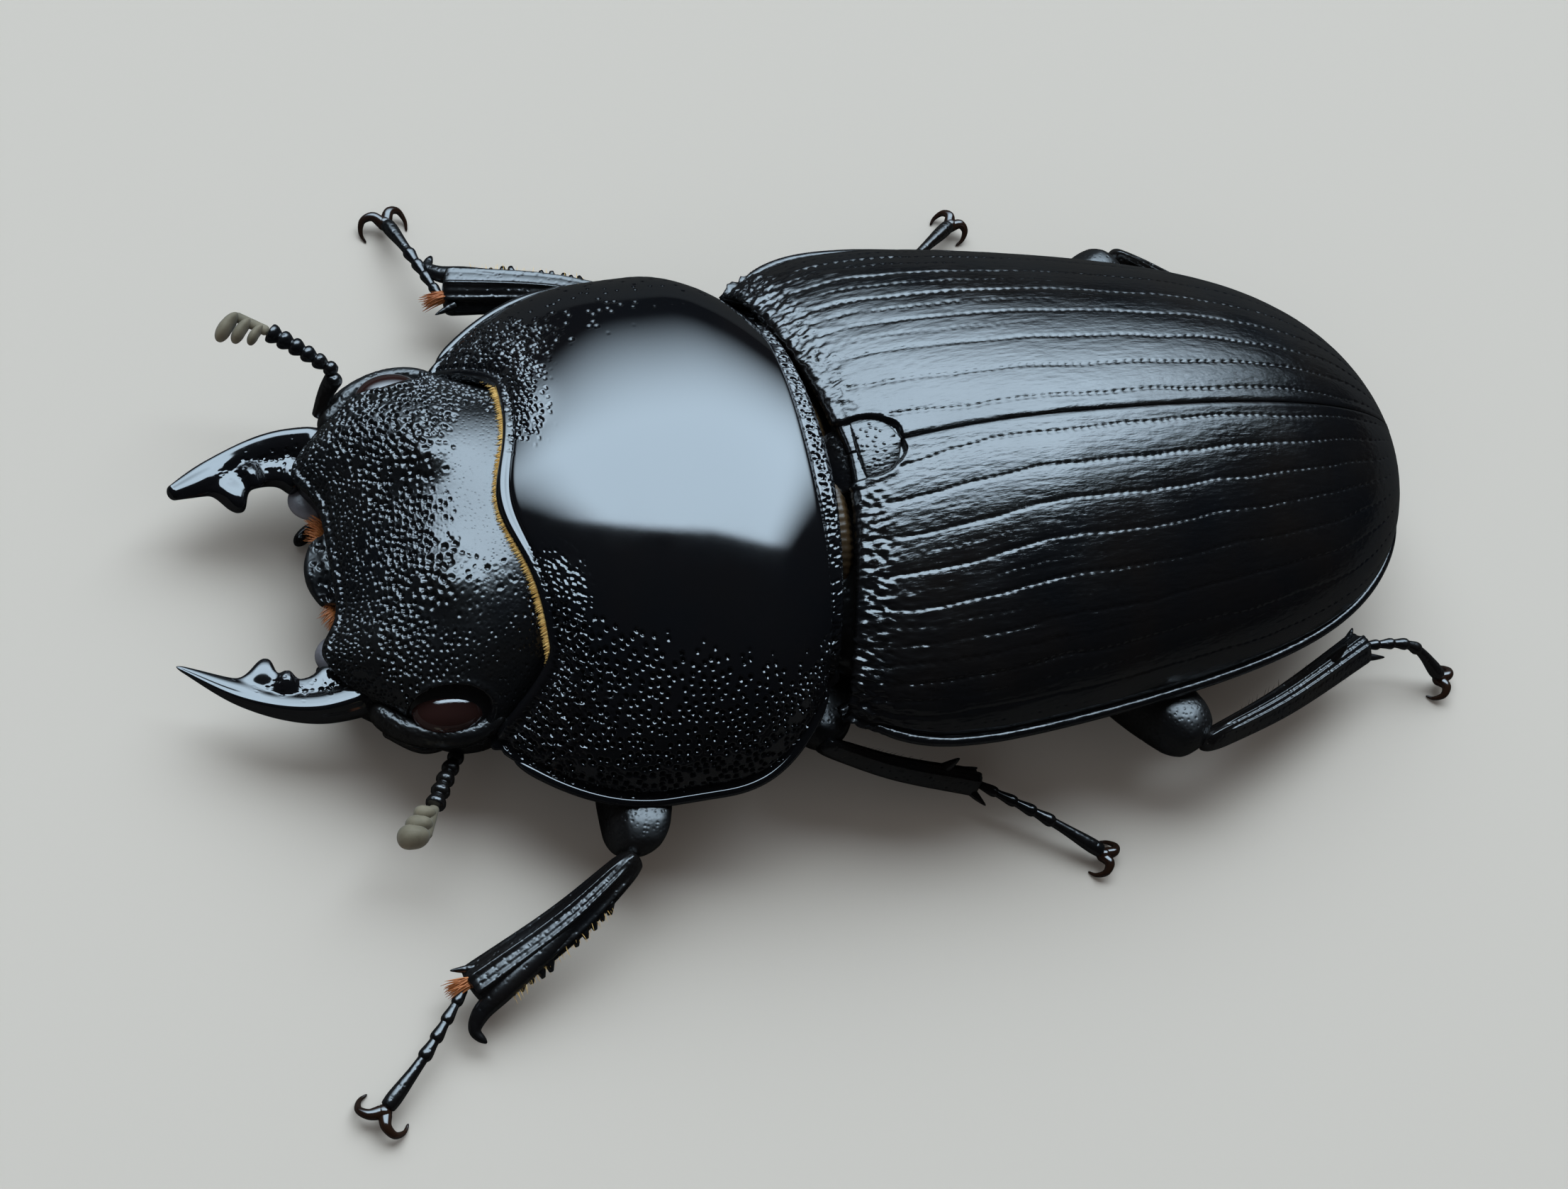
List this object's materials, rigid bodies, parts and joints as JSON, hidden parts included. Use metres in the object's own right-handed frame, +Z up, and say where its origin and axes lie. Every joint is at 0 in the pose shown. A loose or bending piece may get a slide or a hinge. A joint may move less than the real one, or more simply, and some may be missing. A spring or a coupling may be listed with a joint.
{
  "type": "stag beetle",
  "caption": "Life-size black stag beetle with short toothed jaws, elbowed antennae and grooved wing cases, standing still on its claws.",
  "frame": {"origin": "on the floor, under the middle of the whole beetle's bounding box", "axes": "+Z up, head towards -Y, tail towards +Y, the beetle's own left side towards +X"},
  "size_m": [0.0304, 0.0426, 0.0086],
  "materials": {
    "shell": "glossy black chitin",
    "rough_shell": "satin black chitin, finely pitted",
    "limb": "semi-gloss brown-black chitin",
    "eye": "mirror-glossy dark brown",
    "claw": "semi-gloss dark brown",
    "felt": "dull grey-beige felted club of the antenna"
  },
  "bodies": {
    "root": {"pronotum": "shell", "prosternum": "rough_shell", "head": "rough_shell", "labrum": "rough_shell", "labium": "rough_shell", "eye_left": "eye", "palp_left": "limb", "eye_right": "eye", "palp_right": "limb", "mandible_left": "shell", "mandible_right": "shell", "elytron_left": "shell", "elytron_right": "shell", "scutellum": "shell", "hind_thorax": "rough_shell", "abdomen": "rough_shell", "antenna_left_scape": "limb", "antenna_left_funicle": "limb", "antenna_left_club": "felt", "antenna_right_scape": "limb", "antenna_right_funicle": "limb", "antenna_right_club": "felt", "leg_front_left_coxa": "limb", "leg_front_left_femur": "limb", "leg_front_left_tibia": "limb", "leg_front_left_tarsus": "limb", "leg_front_left_claws": "claw", "leg_front_right_coxa": "limb", "leg_front_right_femur": "limb", "leg_front_right_tibia": "limb", "leg_front_right_tarsus": "limb", "leg_front_right_claws": "claw", "leg_middle_left_coxa": "limb", "leg_middle_left_femur": "limb", "leg_middle_left_tibia": "limb", "leg_middle_left_tarsus": "limb", "leg_middle_left_claws": "claw", "leg_middle_right_coxa": "limb", "leg_middle_right_femur": "limb", "leg_middle_right_tibia": "limb", "leg_middle_right_tarsus": "limb", "leg_middle_right_claws": "claw", "leg_hind_left_coxa": "limb", "leg_hind_left_femur": "limb", "leg_hind_left_tibia": "limb", "leg_hind_left_tarsus": "limb", "leg_hind_left_claws": "claw", "leg_hind_right_coxa": "limb", "leg_hind_right_femur": "limb", "leg_hind_right_tibia": "limb", "leg_hind_right_tarsus": "limb", "leg_hind_right_claws": "claw"}
  },
  "joints": []
}
